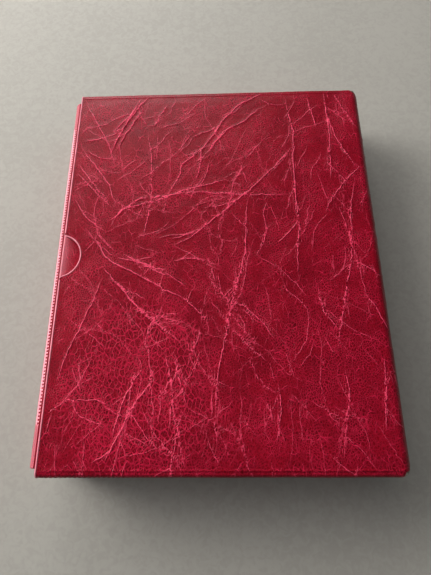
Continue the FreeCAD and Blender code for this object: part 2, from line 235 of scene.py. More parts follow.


# %% [markdown]
# ## Crushed leatherette
#
# The covering is a soft vinyl sheet printed and embossed to look like crushed antique leather. Heat and
# pressure leave three things on it: a fine pebble all over, a net of thin raised cracks where the top
# coat is lighter and a little shinier, and long folds. The folds are modelled in the mesh. The mesh also
# carries how far each point is from the nearest fold and how tightly the surface is crazed there, and the
# material reads both, so colour and shape agree. Beside the folds and cracks the colour is darkened as
# painted shade. A further number on the mesh pales the rims and the hinge, partly for real rubbing and
# weld whitening and partly as painted highlight, and darkens the hinge's pits and groove as painted shade.
#
# PVC has an index of refraction near 1.53, and an embossed sheet is semi-gloss.

# %% Leatherette
PEBBLE = 1.3  # grain of the emboss
CRAZE = 3.4  # cells where the sheet was crushed hardest
LONG_CRACK = 5.5  # between the long cracks that run with the folds
FOLD_LINE = 0.45  # half the width of the light line on a fold


def bent_sheet(tree, sheet, place, size, warp):
    """Places on the sheet pushed about by noise, so that nothing laid on them runs straight."""
    bend = noise_of(tree, place, size, 3.0).outputs["Color"]
    centred = add(tree, "ShaderNodeVectorMath", {"operation": "SUBTRACT"}, i0=bend, i1=(0.5, 0.5, 0.5))
    moved = add(tree, "ShaderNodeVectorMath", {"operation": "SCALE"}, i0=centred.outputs[0])
    moved.inputs["Scale"].default_value = warp * MM
    return add(tree, "ShaderNodeVectorMath", {"operation": "ADD"}, i0=sheet, i1=moved.outputs[0]).outputs[0]


def crack_lines(tree, sheet, cell, width, turn=0.0, stretch=1.0):
    """Thin lines between uneven cells, drawn out along a heading, and the band beside them."""
    laid = add(tree, "ShaderNodeMapping", None, Vector=sheet)
    laid.inputs["Rotation"].default_value = (0.0, 0.0, math.radians(turn))
    laid.inputs["Scale"].default_value = (1.0, 1.0 / stretch, 1.0)
    flat = {"feature": "DISTANCE_TO_EDGE", "voronoi_dimensions": "2D"}
    cells = add(tree, "ShaderNodeTexVoronoi", flat, Vector=laid.outputs[0])
    cells.inputs["Scale"].default_value = per_mm(cell)
    share = width / cell
    line = step(tree, cells.outputs["Distance"], 0.25 * share, share, 1.0, 0.0)
    return line, step(tree, cells.outputs["Distance"], 0.8 * share, 3.0 * share, 1.0, 0.0)


def strongest(tree, *values):
    """The largest of the values."""
    top = values[0]
    for value in values[1:]:
        top = add(tree, "ShaderNodeMath", {"operation": "MAXIMUM"}, i0=top, i1=value).outputs[0]
    return top


def make_leatherette(name, ground, deep, crack, vein, pale, shine=0.34):
    """Embossed vinyl: pebble, crack nets and the folds that the mesh carries, with painted shade and painted
    highlights.
    """
    material, tree, shader = start_material(name)
    place = add(tree, "ShaderNodeTexCoord").outputs["Object"]
    fold = add(tree, "ShaderNodeAttribute", {"attribute_name": "fold_offset"}).outputs["Fac"]
    height = add(tree, "ShaderNodeAttribute", {"attribute_name": "fold_strength"}).outputs["Fac"]
    tight = add(tree, "ShaderNodeAttribute", {"attribute_name": "craze"}).outputs["Fac"]
    slant = add(tree, "ShaderNodeAttribute", {"attribute_name": "slant"}).outputs["Fac"]
    off_fold = add(tree, "ShaderNodeMath", {"operation": "ABSOLUTE"}, i0=fold).outputs[0]
    ragged = noise_of(tree, place, 1.6, 2.0).outputs["Fac"]
    off_ragged = sum_of(tree, off_fold, step(tree, ragged, 0.3, 0.75, -0.1, 0.3))
    breadth = sum_of(tree, times(tree, height, 0.32), 0.62)
    off_ragged = add(tree, "ShaderNodeMath", {"operation": "DIVIDE"}, i0=off_ragged, i1=breadth).outputs[0]
    felt = step(tree, height, 0.0, 0.95)
    fold_line = times(tree, step(tree, off_ragged, 0.1, FOLD_LINE + 0.15, 1.0, 0.0), felt)
    beside = times(tree, step(tree, off_ragged, FOLD_LINE, FOLD_LINE + 1.5, 1.0, 0.0), felt)

    patches = noise_of(tree, place, 24.0, 3.0).outputs["Fac"]
    spots = noise_of(tree, place, 7.0, 2.0).outputs["Fac"]
    sheet = add(tree, "ShaderNodeAttribute", {"attribute_name": "sheet"}).outputs["Vector"]
    bent = bent_sheet(tree, sheet, place, 14.0, 8.0)
    crumpled = bent_sheet(tree, bent, place, 2.4, 1.3)
    leaning = [
        (0.0, times(tree, step(tree, slant, -0.3, 0.0), step(tree, slant, 0.0, 0.3, 1.0, 0.0))),
        (38.0, step(tree, slant, -0.1, -0.7)),
        (-40.0, step(tree, slant, 0.1, 0.7)),
    ]
    drawn, shaded = [], []
    for turn, share in leaning:
        line, side = crack_lines(tree, crumpled, LONG_CRACK, 0.3, turn, 1.7)
        drawn.append(times(tree, line, share))
        shaded.append(times(tree, side, share))
    often = step(tree, spots, 0.42, 0.62, 0.0, 0.9)
    close, close_side = crack_lines(tree, crumpled, CRAZE, 0.45, 8.0, 1.6)
    crazed = step(tree, sum_of(tree, tight, times(tree, spots, 0.6)), 0.5, 1.0)
    crazed = times(tree, crazed, step(tree, ragged, 0.3, 0.6, 0.4, 0.9))
    wisps, wisp_side = crack_lines(tree, crumpled, 1.6, 0.34, 70.0, 1.3)
    wispy = step(tree, patches, 0.4, 0.65, 0.25, 0.6)
    net = strongest(
        tree,
        times(tree, strongest(tree, *drawn), often),
        times(tree, close, crazed),
        times(tree, wisps, wispy),
    )
    net_side = strongest(
        tree,
        times(tree, strongest(tree, *shaded), often),
        times(tree, close_side, crazed),
        times(tree, wisp_side, wispy),
    )

    flat = {"feature": "F1", "voronoi_dimensions": "2D"}
    pebble = add(tree, "ShaderNodeTexVoronoi", flat, Vector=crumpled)
    pebble.inputs["Scale"].default_value = per_mm(PEBBLE)
    grain = pebble.outputs["Distance"]
    pits = noise_of(tree, place, 0.6, 2.0).outputs["Fac"]

    mottle = noise_of(tree, place, 26.0, 5.0, 0.4).outputs["Fac"]
    base = blend_colour(tree, step(tree, mottle, 0.3, 0.7, 0.62, 1.0), hex_colour(deep), hex_colour(ground))
    flecks = noise_of(tree, crumpled, 1.0, 3.0).outputs["Fac"]
    speck = step(tree, sum_of(tree, flecks, times(tree, grain, 0.3)), 0.45, 0.95, 0.0, 0.65)
    base = blend_colour(tree, speck, base, hex_colour(deep))
    # painted shade: beside each fold line and crack the colour is darkened towards the deep colour, where
    # the raised ridge would shade the sheet
    base = blend_colour(tree, times(tree, strongest(tree, beside, net_side), 0.7), base, hex_colour(deep))
    wear_and_painted_light = add(tree, "ShaderNodeAttribute", {"attribute_name": "wear_and_painted_light"}).outputs["Fac"]
    lines = strongest(tree, net, fold_line)
    colour = blend_colour(tree, net, base, hex_colour(crack))
    colour = blend_colour(tree, fold_line, colour, hex_colour(vein))
    # wear and painted light: above nought the colour pales, for real rubbing and weld whitening and for
    # painted highlights on rims and the hinge; below nought it darkens to the deep colour as painted shade
    colour = blend_colour(tree, step(tree, wear_and_painted_light, 0.0, 1.0), colour, hex_colour(pale))
    colour = blend_colour(tree, step(tree, wear_and_painted_light, 0.0, -1.0), colour, hex_colour(deep))
    tree.links.new(colour, shader.inputs["Base Color"])

    relief = sum_of(
        tree,
        times(tree, grain, -0.05 * MM),
        times(tree, pits, 0.03 * MM),
        times(tree, net, 0.12 * MM),
        times(tree, fold_line, 0.2 * MM),
        times(tree, mottle, 0.4 * MM),
    )
    set_relief(tree, shader, relief)
    gloss = sum_of(tree, times(tree, pits, 0.16), times(tree, lines, -0.06), shine - 0.06)
    tree.links.new(gloss, shader.inputs["Roughness"])
    shader.inputs["IOR"].default_value = 1.53
    shader.inputs["Specular IOR Level"].default_value = 0.22
    return material


# the last colour is the pale of rubbed, whitened and highlit rims and hinges, partly painted highlight; the
# deep colour also serves as painted shade
case_leatherette = make_leatherette(
    "crushed_vinyl_case", "#8e0016", "#340006", "#c81c40", "#f04668", "#ff9cae"
)
cover_leatherette = make_leatherette(
    "crushed_vinyl_cover", "#a0021f", "#4a000b", "#c81a3e", "#e23456", "#ffa6b4", shine=0.3
)
print("leatherette:", len(case_leatherette.node_tree.nodes), "nodes")

# %% [markdown]
# ## Greyboard, papers, cloth and brass
#
# These finish the CAD nodes that keep their own shape. Greyboard is pressed waste paper, so it is flecked.
# Endpapers and linings are dyed paper with a faint fibre. The binding flaps are covered in plain-woven
# book cloth. The posts are turned brass, lacquered.

# %% Paper, board, cloth and metal


def make_paper(name, ground, fleck, fibre, rough, relief):
    """Paper or board: a flat colour with fibres and flecks."""
    material, tree, shader = start_material(name)
    place = add(tree, "ShaderNodeTexCoord").outputs["Object"]
    fibres = noise_of(tree, place, fibre, 5.0, 1.2).outputs["Fac"]
    clouds = noise_of(tree, place, fibre * 14, 2.0).outputs["Fac"]
    mixed = step(tree, sum_of(tree, times(tree, fibres, 0.7), times(tree, clouds, 0.3)), 0.4, 0.62)
    colour = blend_colour(tree, mixed, hex_colour(ground), hex_colour(fleck))
    tree.links.new(colour, shader.inputs["Base Color"])
    set_relief(tree, shader, times(tree, fibres, relief * MM))
    tree.links.new(step(tree, fibres, 0.3, 0.7, rough - 0.06, rough + 0.06), shader.inputs["Roughness"])
    shader.inputs["IOR"].default_value = 1.47
    return material


def make_book_cloth(name, ground, deep, thread):
    """Plain weave, threads crossing over and under."""
    material, tree, shader = start_material(name)
    place = add(tree, "ShaderNodeTexCoord").outputs["Object"]
    waves = []
    for direction in ("X", "Y"):
        wave = add(tree, "ShaderNodeTexWave", {"bands_direction": direction}, Vector=place)
        wave.inputs["Scale"].default_value = per_mm(thread) / 20
        wave.inputs["Distortion"].default_value = 0.6
        waves.append(wave.outputs["Fac"])
    weave = times(tree, *waves)
    colour = blend_colour(tree, weave, hex_colour(deep), hex_colour(ground))
    tree.links.new(colour, shader.inputs["Base Color"])
    set_relief(tree, shader, times(tree, weave, 0.12 * MM))
    tree.links.new(step(tree, weave, 0.0, 1.0, 0.9, 0.7), shader.inputs["Roughness"])
    return material


def make_turned_brass(name, ground, dull):
    """Brass with fine rings from the lathe and a little tarnish."""
    material, tree, shader = start_material(name)
    place = add(tree, "ShaderNodeTexCoord").outputs["Object"]
    rings = add(tree, "ShaderNodeTexWave", {"wave_type": "BANDS", "bands_direction": "Z"}, Vector=place)
    rings.inputs["Scale"].default_value = per_mm(0.4) / 20
    rings.inputs["Distortion"].default_value = 1.5
    tarnish = noise_of(tree, place, 3.0, 3.0).outputs["Fac"]
    colour = blend_colour(tree, step(tree, tarnish, 0.45, 0.7), hex_colour(ground), hex_colour(dull))
    tree.links.new(colour, shader.inputs["Base Color"])
    set_relief(tree, shader, times(tree, rings.outputs["Fac"], 0.02 * MM))
    tree.links.new(step(tree, tarnish, 0.4, 0.75, 0.22, 0.42), shader.inputs["Roughness"])
    shader.inputs["Metallic"].default_value = 1.0
    return material


greyboard = make_paper("pressed_greyboard", "#8d857a", "#6f675d", 0.8, 0.85, 0.08)
lining_paper = make_paper("dyed_lining_paper", "#4a0f1a", "#3a0a13", 0.6, 0.75, 0.04)
endpaper = make_paper("dyed_endpaper", "#571320", "#470e19", 0.5, 0.6, 0.03)
leaf_card = make_paper("ivory_leaf_card", "#efe6cf", "#e2d6ba", 0.5, 0.7, 0.03)
floor_paint = make_paper("pale_matt_floor", "#a5a29b", "#9f9c95", 6.0, 0.7, 0.0)
book_cloth = make_book_cloth("woven_book_cloth", "#4a1018", "#24060b", 0.5)
turned_brass = make_turned_brass("turned_brass", "#d8b25e", "#9a7a3c")
floor.data.materials.append(floor_paint)

FINISHES = {
    "greyboard": greyboard,
    "lining_paper": lining_paper,
    "endpaper": endpaper,
    "binding_cloth": book_cloth,
    "post_metal": turned_brass,
    "leaf_card": leaf_card,
    "case_leatherette": case_leatherette,
    "cover_leatherette": cover_leatherette,
}
slots = {part["node"]: part["material_slot"] for part in frame["record"]["subparts"]}
for node, thing in frame["nodes"].items():
    thing.data.materials.clear()
    thing.data.materials.append(FINISHES[slots[node]])
print("finished", len(frame["nodes"]), "CAD nodes")

# %% [markdown]
# ## A mesh made of patches
#
# The leatherette pieces are gathered as grids of points. Points that meet are welded, so neighbouring
# grids share their edges and the sheet has no gaps. This is quicker and steadier than modelling with
# operators, and every point's place has a reason.

# %% Patches


def grid_faces(grid):
    """Quads over a grid of point numbers."""
    return np.stack([grid[:-1, :-1], grid[1:, :-1], grid[1:, 1:], grid[:-1, 1:]], axis=-1).reshape(-1, 4)


class Patchwork:
    """Points and faces of one piece, in millimetres, gathered patch by patch."""

    def __init__(self):
        self.points = []
        self.faces = []
        self.count = 0

    def add_points(self, points):
        """Keeps a grid of points and returns their numbers in the same layout."""
        flat = np.asarray(points, float).reshape(-1, 3)
        numbers = self.count + np.arange(len(flat)).reshape(np.shape(points)[:-1])
        self.points.append(flat)
        self.count += len(flat)
        return numbers

    def add_grid(self, points, flip=False):
        """Adds a grid of points with a quad in every cell."""
        faces = grid_faces(self.add_points(points))
        self.faces += (faces[:, ::-1] if flip else faces).tolist()

    def weld(self):
        """Joins points within a hundredth of a millimetre, and leaves out those that no face uses."""
        points = np.concatenate(self.points)
        used = np.unique(np.concatenate([np.asarray(face) for face in self.faces]))
        near = np.round(points[used], 2)
        _, first, same = np.unique(near, axis=0, return_index=True, return_inverse=True)
        number = np.zeros(len(points), int)
        number[used] = same.reshape(-1)
        faces = []
        for face in self.faces:
            ring = number[list(face)].tolist()
            ring = [a for a, b in zip(ring, ring[-1:] + ring[:-1]) if a != b]
            if len(ring) > 2 and len(set(ring)) == len(ring):
                faces.append(ring)
        return points[used][first], faces

    def make(self, name, material, smooth=True):
        """The welded piece as an object, smooth shaded or flat."""
        points, faces = self.weld()
        mesh = bpy.data.meshes.new(name)
        mesh.from_pydata((points * MM).tolist(), [], faces)
        mesh.materials.append(material)
        if smooth:
            mesh.shade_smooth()
        mesh.update()
        made = bpy.data.objects.new(name, mesh)
        bpy.context.scene.collection.objects.link(made)
        print(name, len(mesh.vertices), "points", len(mesh.polygons), "faces")
        return made


def mesh_arrays(thing):
    """Places in millimetres and normals of an object's points."""
    count = len(thing.data.vertices)
    places, normals = np.zeros(count * 3), np.zeros(count * 3)
    thing.data.vertices.foreach_get("co", places)
    thing.data.vertex_normals.foreach_get("vector", normals)
    return places.reshape(-1, 3) / MM, normals.reshape(-1, 3)


def move_points(thing, places):
    """Puts an object's points at these places, in millimetres."""
    thing.data.vertices.foreach_set("co", (places * MM).reshape(-1))
    thing.data.update()


def store(thing, name, values):
    """A number at every point, for the material to read."""
    layer = thing.data.attributes.new(name, "FLOAT", "POINT")
    layer.data.foreach_set("value", np.asarray(values, np.float32))


def store_sheet(thing, across, along):
    """Where each point is on the flat sheet, in metres, for patterns that must not be cut across."""
    layer = thing.data.attributes.new("sheet", "FLOAT_VECTOR", "POINT")
    flat = np.stack([across, along, np.zeros(len(across))], axis=1) * MM
    layer.data.foreach_set("vector", flat.astype(np.float32).reshape(-1))


def ease(value, low, high):
    """Nought below low, one above high, and smooth between."""
    share = np.clip((value - low) / (high - low), 0, 1)
    return share * share * (3 - 2 * share)


def bell(value, middle, width):
    """One at the middle, and falling off smoothly on both sides."""
    return np.exp(-(((value - middle) / width) ** 2))


# %% [markdown]
# ## The outline of the case
#
# The head and tail walls have small round edges, the closed back has wide bends, and the upright corners
# at the back are rounder still. So the round-over along the top changes width as it goes round each
# corner. The outline is one list of places, outward directions and round-over widths, and both the walls
# and the front panel take their points from it.

# %% Outline
CORNER_RADIUS = 8.5
EDGE_RADIUS = 3.5
BEND_RADIUS = 7.0
RIM_START = 2.4  # the rolled rim begins this far inside the mouth
FINE, COARSE = 0.8, 1.35  # spacing of points near the mouth and further in
FINE_REACH = 60.0


def spaced(low, high, spacing):
    """Places from low to high, about spacing apart, without the last."""
    return np.linspace(low, high, max(2, round((high - low) / spacing)) + 1)[:-1]


rim_x = mouth + RIM_START
corner_x, corner_y = back - CORNER_RADIUS, half_height - CORNER_RADIUS
side_run = corner_x - rim_x
eighth = CORNER_RADIUS * math.pi / 4
side_steps = np.concatenate(
    [spaced(0, FINE_REACH, FINE), spaced(FINE_REACH, side_run + eighth, COARSE), [side_run + eighth]]
)
while (len(side_steps) - 1) % 3:
    side_steps = np.sort(np.append(side_steps, (side_steps[-1] + side_steps[-2]) / 2))


def corner_point(angle):
    """Place, direction and round-over on the upright corner at the tail, by its angle from the tail side."""
    direction = np.stack([np.sin(angle), -np.cos(angle)], axis=-1)
    place = np.array([corner_x, -corner_y]) + CORNER_RADIUS * direction
    width = EDGE_RADIUS + (BEND_RADIUS - EDGE_RADIUS) * ease(angle, 0, math.pi / 2)
    return place, direction, width


def tail_side(along):
    """The outline from the mouth along the tail to the middle of the corner."""
    bend = np.clip(along - side_run, 0, None) / CORNER_RADIUS
    place, direction, width = corner_point(bend)
    straight = along < side_run
    place[straight, 0] = rim_x + along[straight]
    return place, direction, width


def back_side(share):
    """The outline round the back, from the middle of one corner to the middle of the other."""
    run = 2 * corner_y
    along = share * (run + 2 * eighth)
    down = np.minimum(along, run + 2 * eighth - along)
    place, direction, width = corner_point(np.clip(math.pi / 4 + down / CORNER_RADIUS, 0, math.pi / 2))
    straight = down > eighth
    place[straight, 1] = -corner_y + down[straight] - eighth
    upper = along > (run + 2 * eighth) / 2
    place[upper, 1] *= -1
    direction[upper, 1] *= -1
    return place, direction, width


# %% [markdown]
# ## The thumb notch
#
# The notch is a D cut in the mouth: a bowl, and a small flare each side where it runs into the edge. The
# points along the mouth follow it, and they know which way is out, because the rolled rim is swept along
# them. Behind it, the leatherette is turned in and ends along a wider curve, where the lining begins.

# %% Mouth and notch
BOWL_RADIUS = 17.5
BOWL_SETBACK = 2.9
FLARE_RADIUS = 3.5
TURN_IN = 12.0
EDGE_ZONE = 5.0  # finer rows beside the head and tail edges

bowl_x = mouth - BOWL_SETBACK
lean = math.acos((FLARE_RADIUS + BOWL_SETBACK) / (BOWL_RADIUS + FLARE_RADIUS))
flare_y = (BOWL_RADIUS + FLARE_RADIUS) * math.sin(lean)
lining_radius = BOWL_RADIUS + TURN_IN
zone_y = math.sqrt(lining_radius**2 - (TURN_IN + BOWL_SETBACK) ** 2)
flare_run, bowl_run = FLARE_RADIUS * lean, 2 * BOWL_RADIUS * lean
straight_run = zone_y - flare_y
zone_run = 2 * straight_run + 2 * flare_run + bowl_run


def along_notch(along):
    """Place and outward direction at a distance along the mouth from the tail end of the notch's zone."""
    sign = -1.0 if along < zone_run / 2 else 1.0
    rest = min(along, zone_run - along)
    if rest < straight_run:
        return (mouth, sign * (zone_y - rest)), (-1.0, 0.0)
    rest -= straight_run
    if rest < flare_run:
        angle = rest / FLARE_RADIUS
        out = (-math.cos(angle), -sign * math.sin(angle))
        return (
            mouth + FLARE_RADIUS + FLARE_RADIUS * out[0],
            sign * flare_y + FLARE_RADIUS * out[1],
        ), out
    angle = lean - (rest - flare_run) / BOWL_RADIUS
    out = (-math.cos(angle), -sign * math.sin(angle))
    return (bowl_x - BOWL_RADIUS * out[0], -BOWL_RADIUS * out[1]), out


panel_half = half_height - EDGE_RADIUS
notch_count = 64
tail_rows = np.concatenate(
    [
        spaced(-panel_half, -panel_half + EDGE_ZONE, 0.5),
        spaced(-panel_half + EDGE_ZONE, -zone_y, COARSE),
    ]
)
while (2 * len(tail_rows) + notch_count) % 3:
    notch_count += 1
mouth_rows = np.concatenate(
    [tail_rows, np.linspace(-zone_y, zone_y, notch_count + 1), -tail_rows[::-1]]
)
mouth_place = np.stack([np.full(len(mouth_rows), mouth), mouth_rows], axis=1)
mouth_out = np.tile([-1.0, 0.0], (len(mouth_rows), 1))
lining_place = np.stack([np.full(len(mouth_rows), mouth + TURN_IN), mouth_rows], axis=1)
for number, along in enumerate(np.linspace(0, zone_run, notch_count + 1)):
    row = len(tail_rows) + number
    mouth_place[row], mouth_out[row] = along_notch(along)
    swing = math.asin(zone_y / lining_radius) * (2 * number / notch_count - 1)
    lining_place[row] = (
        bowl_x + lining_radius * math.cos(swing),
        lining_radius * math.sin(swing),
    )
rows, columns = len(mouth_rows) - 1, len(side_steps) - 1
print("panel of", columns, "by", rows, "cells; notch", round(bowl_run, 1), "mm round")

# %% [markdown]
# ## The covering of the case
#
# A panel is a four-sided patch: its head, tail and back edges come from the outline and its mouth edge
# from the notch. Points are first spread evenly between the edges, and then those near the mouth are
# pulled to follow the notch. The walls are the outline swept down over a round-over, a straight wall and
# another round-over. The rim is swept along the mouth: a rolled bead, the wall's thickness, and the
# turned-in margin behind.

# %% Case covering
WALL_LEVELS = 16
TOP_ARC, FOOT_ARC = 6, 4
WALL = 3.0
NOTCH_PULL = 42.0  # how far in from the mouth the points still follow the notch
# across the rim: how far out past the rim's start, and how far above the surface
RIM_SECTION = [
    (-2.4, 0.0),
    (-2.0, 0.03),
    (-1.65, -0.08),
    (-1.35, 0.08),
    (-1.0, 0.26),
    (-0.65, 0.28),
    (-0.32, 0.08),
    (-0.1, -0.28),
    (0.0, -0.75),
    (0.0, -1.5),
    (-0.02, -2.2),
    (-0.25, -2.72),
    (-0.75, -WALL),
]


def round_over(levels, width):
    """Inset and drop along a quarter round, for each width."""
    angle = np.linspace(0, math.pi / 2, levels + 1)
    return np.outer(width, 1 - np.sin(angle)), np.outer(width, 1 - np.cos(angle))


def wall_section(width):
    """Inset and height down the wall, for each round-over width."""
    inset, drop = round_over(TOP_ARC, width)
    foot_inset, foot_drop = round_over(FOOT_ARC, width)
    share = np.linspace(0, 1, WALL_LEVELS + 1)[1:-1]
    straight = case_top - width[:, None] - share * (case_top - 2 * width[:, None])
    inset = np.hstack([inset, np.zeros_like(straight), foot_inset[:, ::-1]])
    height = np.hstack([case_top - drop, straight, foot_drop[:, ::-1]])
    return inset, height


def wall_band(outline):
    """Points of the wall below a stretch of the outline: one row for each place on it."""
    place, direction, width = outline
    inset, height = wall_section(width)
    flat = place[:, None, :] - direction[:, None, :] * inset[..., None]
    return np.concatenate([flat, height[..., None]], axis=-1)


def mirrored(band):
    """The same points at the head in place of the tail."""
    return band * [1, -1, 1]


tail_band = wall_band(tail_side(side_steps))
row_share = (mouth_rows + panel_half) / (2 * panel_half)
back_band = wall_band(back_side(row_share))
head_band = mirrored(tail_band)


def panel_points():
    """The front panel: a patch between the tops of the bands and the mouth."""
    tail, head, far = tail_band[:, 0], head_band[:, 0], back_band[:, 0]
    near = np.stack([np.full(rows + 1, rim_x), mouth_rows, np.full(rows + 1, case_top)], axis=1)
    u = (side_steps / side_steps[-1])[:, None, None]
    v = row_share[None, :, None]
    across = (1 - v) * tail[:, None] + v * head[:, None]
    along = (1 - u) * near[None] + u * far[None]
    corners = (1 - u) * ((1 - v) * near[0] + v * near[-1]) + u * ((1 - v) * far[0] + v * far[-1])
    points = across + along - corners
    pulled = mouth_place - mouth_out * RIM_START - near[:, :2]
    weight = 1 - ease(side_steps, 0, NOTCH_PULL)
    points[..., :2] += weight[:, None, None] * pulled[None]
    return points


def coarse_panel(piece, numbers):
    """Faces over every third point, with all the points along the edges kept."""

    def run(start, end):
        (i, j), (k, m) = start, end
        steps = max(abs(k - i), abs(m - j))
        on_edge = (i == k and i in (0, columns)) or (j == m and j in (0, rows))
        count = steps if on_edge else 1
        return [
            int(numbers[i + (k - i) * n // count, j + (m - j) * n // count]) for n in range(count)
        ]

    for i in range(0, columns, 3):
        for j in range(0, rows, 3):
            ring = [(i, j), (i + 3, j), (i + 3, j + 3), (i, j + 3)]
            face = sum((run(a, b) for a, b in zip(ring, ring[1:] + ring[:1])), [])
            piece.faces.append(face[::-1])


def rim_base():
    """Places round the mouth with the way out of it and the way off the surface, as one closed loop."""
    z_axis = np.tile([0.0, 0.0, 1.0], (rows + 1, 1))
    flat_out = np.hstack([mouth_out, np.zeros((rows + 1, 1))])
    top_place = np.hstack([mouth_place, np.full((rows + 1, 1), case_top)])
    foot_place = np.hstack([mouth_place, np.zeros((rows + 1, 1))])
    wall = head_band[0].copy()
    wall[:, 0] = mouth
    off = np.zeros_like(wall)
    quarter = np.linspace(0, math.pi / 2, TOP_ARC + 1)
    foot = np.linspace(math.pi / 2, math.pi, FOOT_ARC + 1)
    angle = np.concatenate([quarter, np.full(WALL_LEVELS - 1, math.pi / 2), foot])
    off[:, 1], off[:, 2] = np.sin(angle), np.cos(angle)
    out = np.tile([-1.0, 0.0, 0.0], (len(wall), 1))
    tail = mirrored(wall)[::-1], out, mirrored(off)[::-1]
    front, rear = (top_place, flat_out, z_axis), (foot_place[::-1], flat_out[::-1], -z_axis)
    parts = (front, (wall, out, off), rear, tail)
    return [np.concatenate(stack) for stack in zip(*parts)]


def lining_edge():
    """Where the turned-in leatherette ends, for each place round the mouth."""
    place, out, off = rim_base()
    edge = place - out * TURN_IN - off * WALL
    edge[: rows + 1, :2] = lining_place
    rear_start = rows + 1 + head_band.shape[1]
    edge[rear_start : rear_start + rows + 1, :2] = lining_place[::-1]
    return edge


def rim_points():
    """The rim's section swept round the mouth, and the turned-in margin."""
    place, out, off = rim_base()
    section = [place + a * out + b * off for a, b in RIM_SECTION]
    last, edge = section[-1], lining_edge()
    section += [last + (edge - last) * share for share in (0.25, 0.6, 1.0)]
    loop = np.stack(section, axis=1)
    return np.concatenate([loop, loop[:1]])


def build_case_cover():
    """The whole covering: front, rear, walls and rim."""
    piece = Patchwork()
    front = panel_points()
    piece.add_grid(front)
    rear = front.copy()
    rear[..., 2] = 0.0
    coarse_panel(piece, piece.add_points(rear))
    piece.add_grid(tail_band, flip=True)
    piece.add_grid(back_band, flip=True)
    piece.add_grid(head_band)
    piece.add_grid(rim_points())
    return piece.make("case_cover", case_leatherette)


case_cover = build_case_cover()

# %% [markdown]
# ## Folds
#
# A fold is a soft ridge along a wandering line. The large ones are listed as across and down
# from the mouth's head corner in millimetres: a fan out of the notch, slanting folds in the upper half,
# and three long ones that run down the case. Smaller ones branch off them, and the rest are scattered
# with fixed seeds, each in the direction that the sheet is pulled there.

# %% Fold lines
# each: height in millimetres, then places as (across, down)
MAIN_FOLDS = [
    (0.34, [(188, 6), (191, 34), (194, 48), (191, 78), (191, 106), (192, 138), (189, 166), (188, 188)]),
    (0.32, [(152, 108), (149, 130), (148, 160), (144, 178), (138, 198), (133, 220), (125, 260), (123, 292)]),
    (0.30, [(242, 94), (236, 122), (231, 170), (224, 194), (218, 220), (212, 244)]),
    (0.38, [(194, 60), (174, 84), (152, 106), (134, 122), (118, 136), (104, 148), (88, 156)]),
    (0.38, [(170, 3), (146, 16), (132, 32), (122, 50), (112, 64), (111, 82), (107, 98)]),
    (0.32, [(164, 22), (148, 36), (136, 42), (124, 56), (116, 70)]),
    (0.36, [(36, 140), (44, 124), (60, 112), (82, 109), (106, 106), (134, 108), (158, 110), (188, 110)]),
    (0.34, [(34, 134), (50, 120), (74, 114), (98, 104), (122, 98), (136, 94)]),
    (0.22, [(4, 58), (20, 78), (34, 98), (42, 122)]),
    (0.22, [(4, 74), (18, 94), (36, 116)]),
    (0.20, [(4, 84), (24, 106), (40, 122)]),
    (0.22, [(4, 110), (18, 130), (34, 142)]),
    (0.22, [(5, 10), (18, 34), (30, 56), (38, 82)]),
    (0.50, [(26, 148), (36, 164), (44, 170), (60, 178), (74, 186), (88, 194), (104, 201)]),
    (0.44, [(34, 172), (46, 186), (62, 204), (78, 217), (90, 230)]),
    (0.40, [(46, 165), (62, 169), (74, 174), (86, 175)]),
    (0.36, [(50, 162), (66, 170), (80, 176)]),
    (0.40, [(48, 186), (56, 198), (70, 212), (84, 222)]),
    (0.42, [(63, 4), (52, 20), (44, 34), (36, 54), (32, 66)]),
    (0.36, [(56, 6), (48, 24), (41, 40), (32, 44)]),
    (0.30, [(60, 18), (50, 34), (42, 50), (38, 62)]),
    (0.28, [(81, 14), (74, 26), (71, 36), (64, 38)]),
    (0.24, [(64, 42), (69, 74), (70, 114), (65, 154)]),
    (0.30, [(114, 62), (96, 78), (92, 94), (84, 107)]),
    (0.30, [(208, 10), (212, 30), (214, 44)]),
    (0.32, [(224, 4), (224, 26), (228, 46), (236, 68), (246, 86)]),
    (0.30, [(224, 14), (225, 50), (222, 98)]),
    (0.26, [(232, 4), (242, 28), (250, 46)]),
    (0.28, [(250, 82), (234, 98), (220, 116), (214, 128)]),
    (0.24, [(202, 196), (206, 212), (216, 226)]),
    (0.30, [(246, 244), (244, 270), (240, 296)]),
    (0.24, [(216, 252), (219, 270), (214, 290), (212, 306)]),
    (0.24, [(168, 262), (170, 282), (165, 304)]),
    (0.26, [(36, 180), (26, 210), (16, 234), (8, 262)]),
    (0.46, [(80, 258), (64, 280), (56, 298), (47, 316)]),
    (0.36, [(70, 252), (58, 274), (52, 300)]),
    (0.26, [(2, 284), (18, 274), (38, 274), (50, 279)]),
    (0.24, [(20, 275), (28, 286), (46, 291)]),
    (0.24, [(134, 222), (150, 238), (162, 249)]),
    (0.26, [(126, 198), (146, 206), (160, 220), (168, 233)]),
    (0.24, [(88, 150), (100, 146), (112, 140)]),
    (0.30, [(174, 154), (186, 142), (192, 134)]),
    (0.26, [(90, 168), (104, 166), (116, 169)]),
    (0.22, [(174, 190), (186, 200), (196, 212)]),
    (0.24, [(232, 170), (244, 176), (252, 184)]),
    (0.24, [(238, 196), (246, 210), (253, 228)]),
    (0.28, [(86, 240), (92, 262), (94, 284), (102, 308)]),
    (0.28, [(92, 236), (97, 260), (104, 280)]),
]


def wander(start, heading, length, rng, turn=0.22, spacing=4.0):
    """A line that wanders off from a start in a heading, in millimetres."""
    line = [start]
    for _ in range(max(2, round(length / spacing))):
        heading += rng.gauss(0, turn)
        x, y = line[-1]
        line.append((x + spacing * math.cos(heading), y + spacing * math.sin(heading)))
    return line


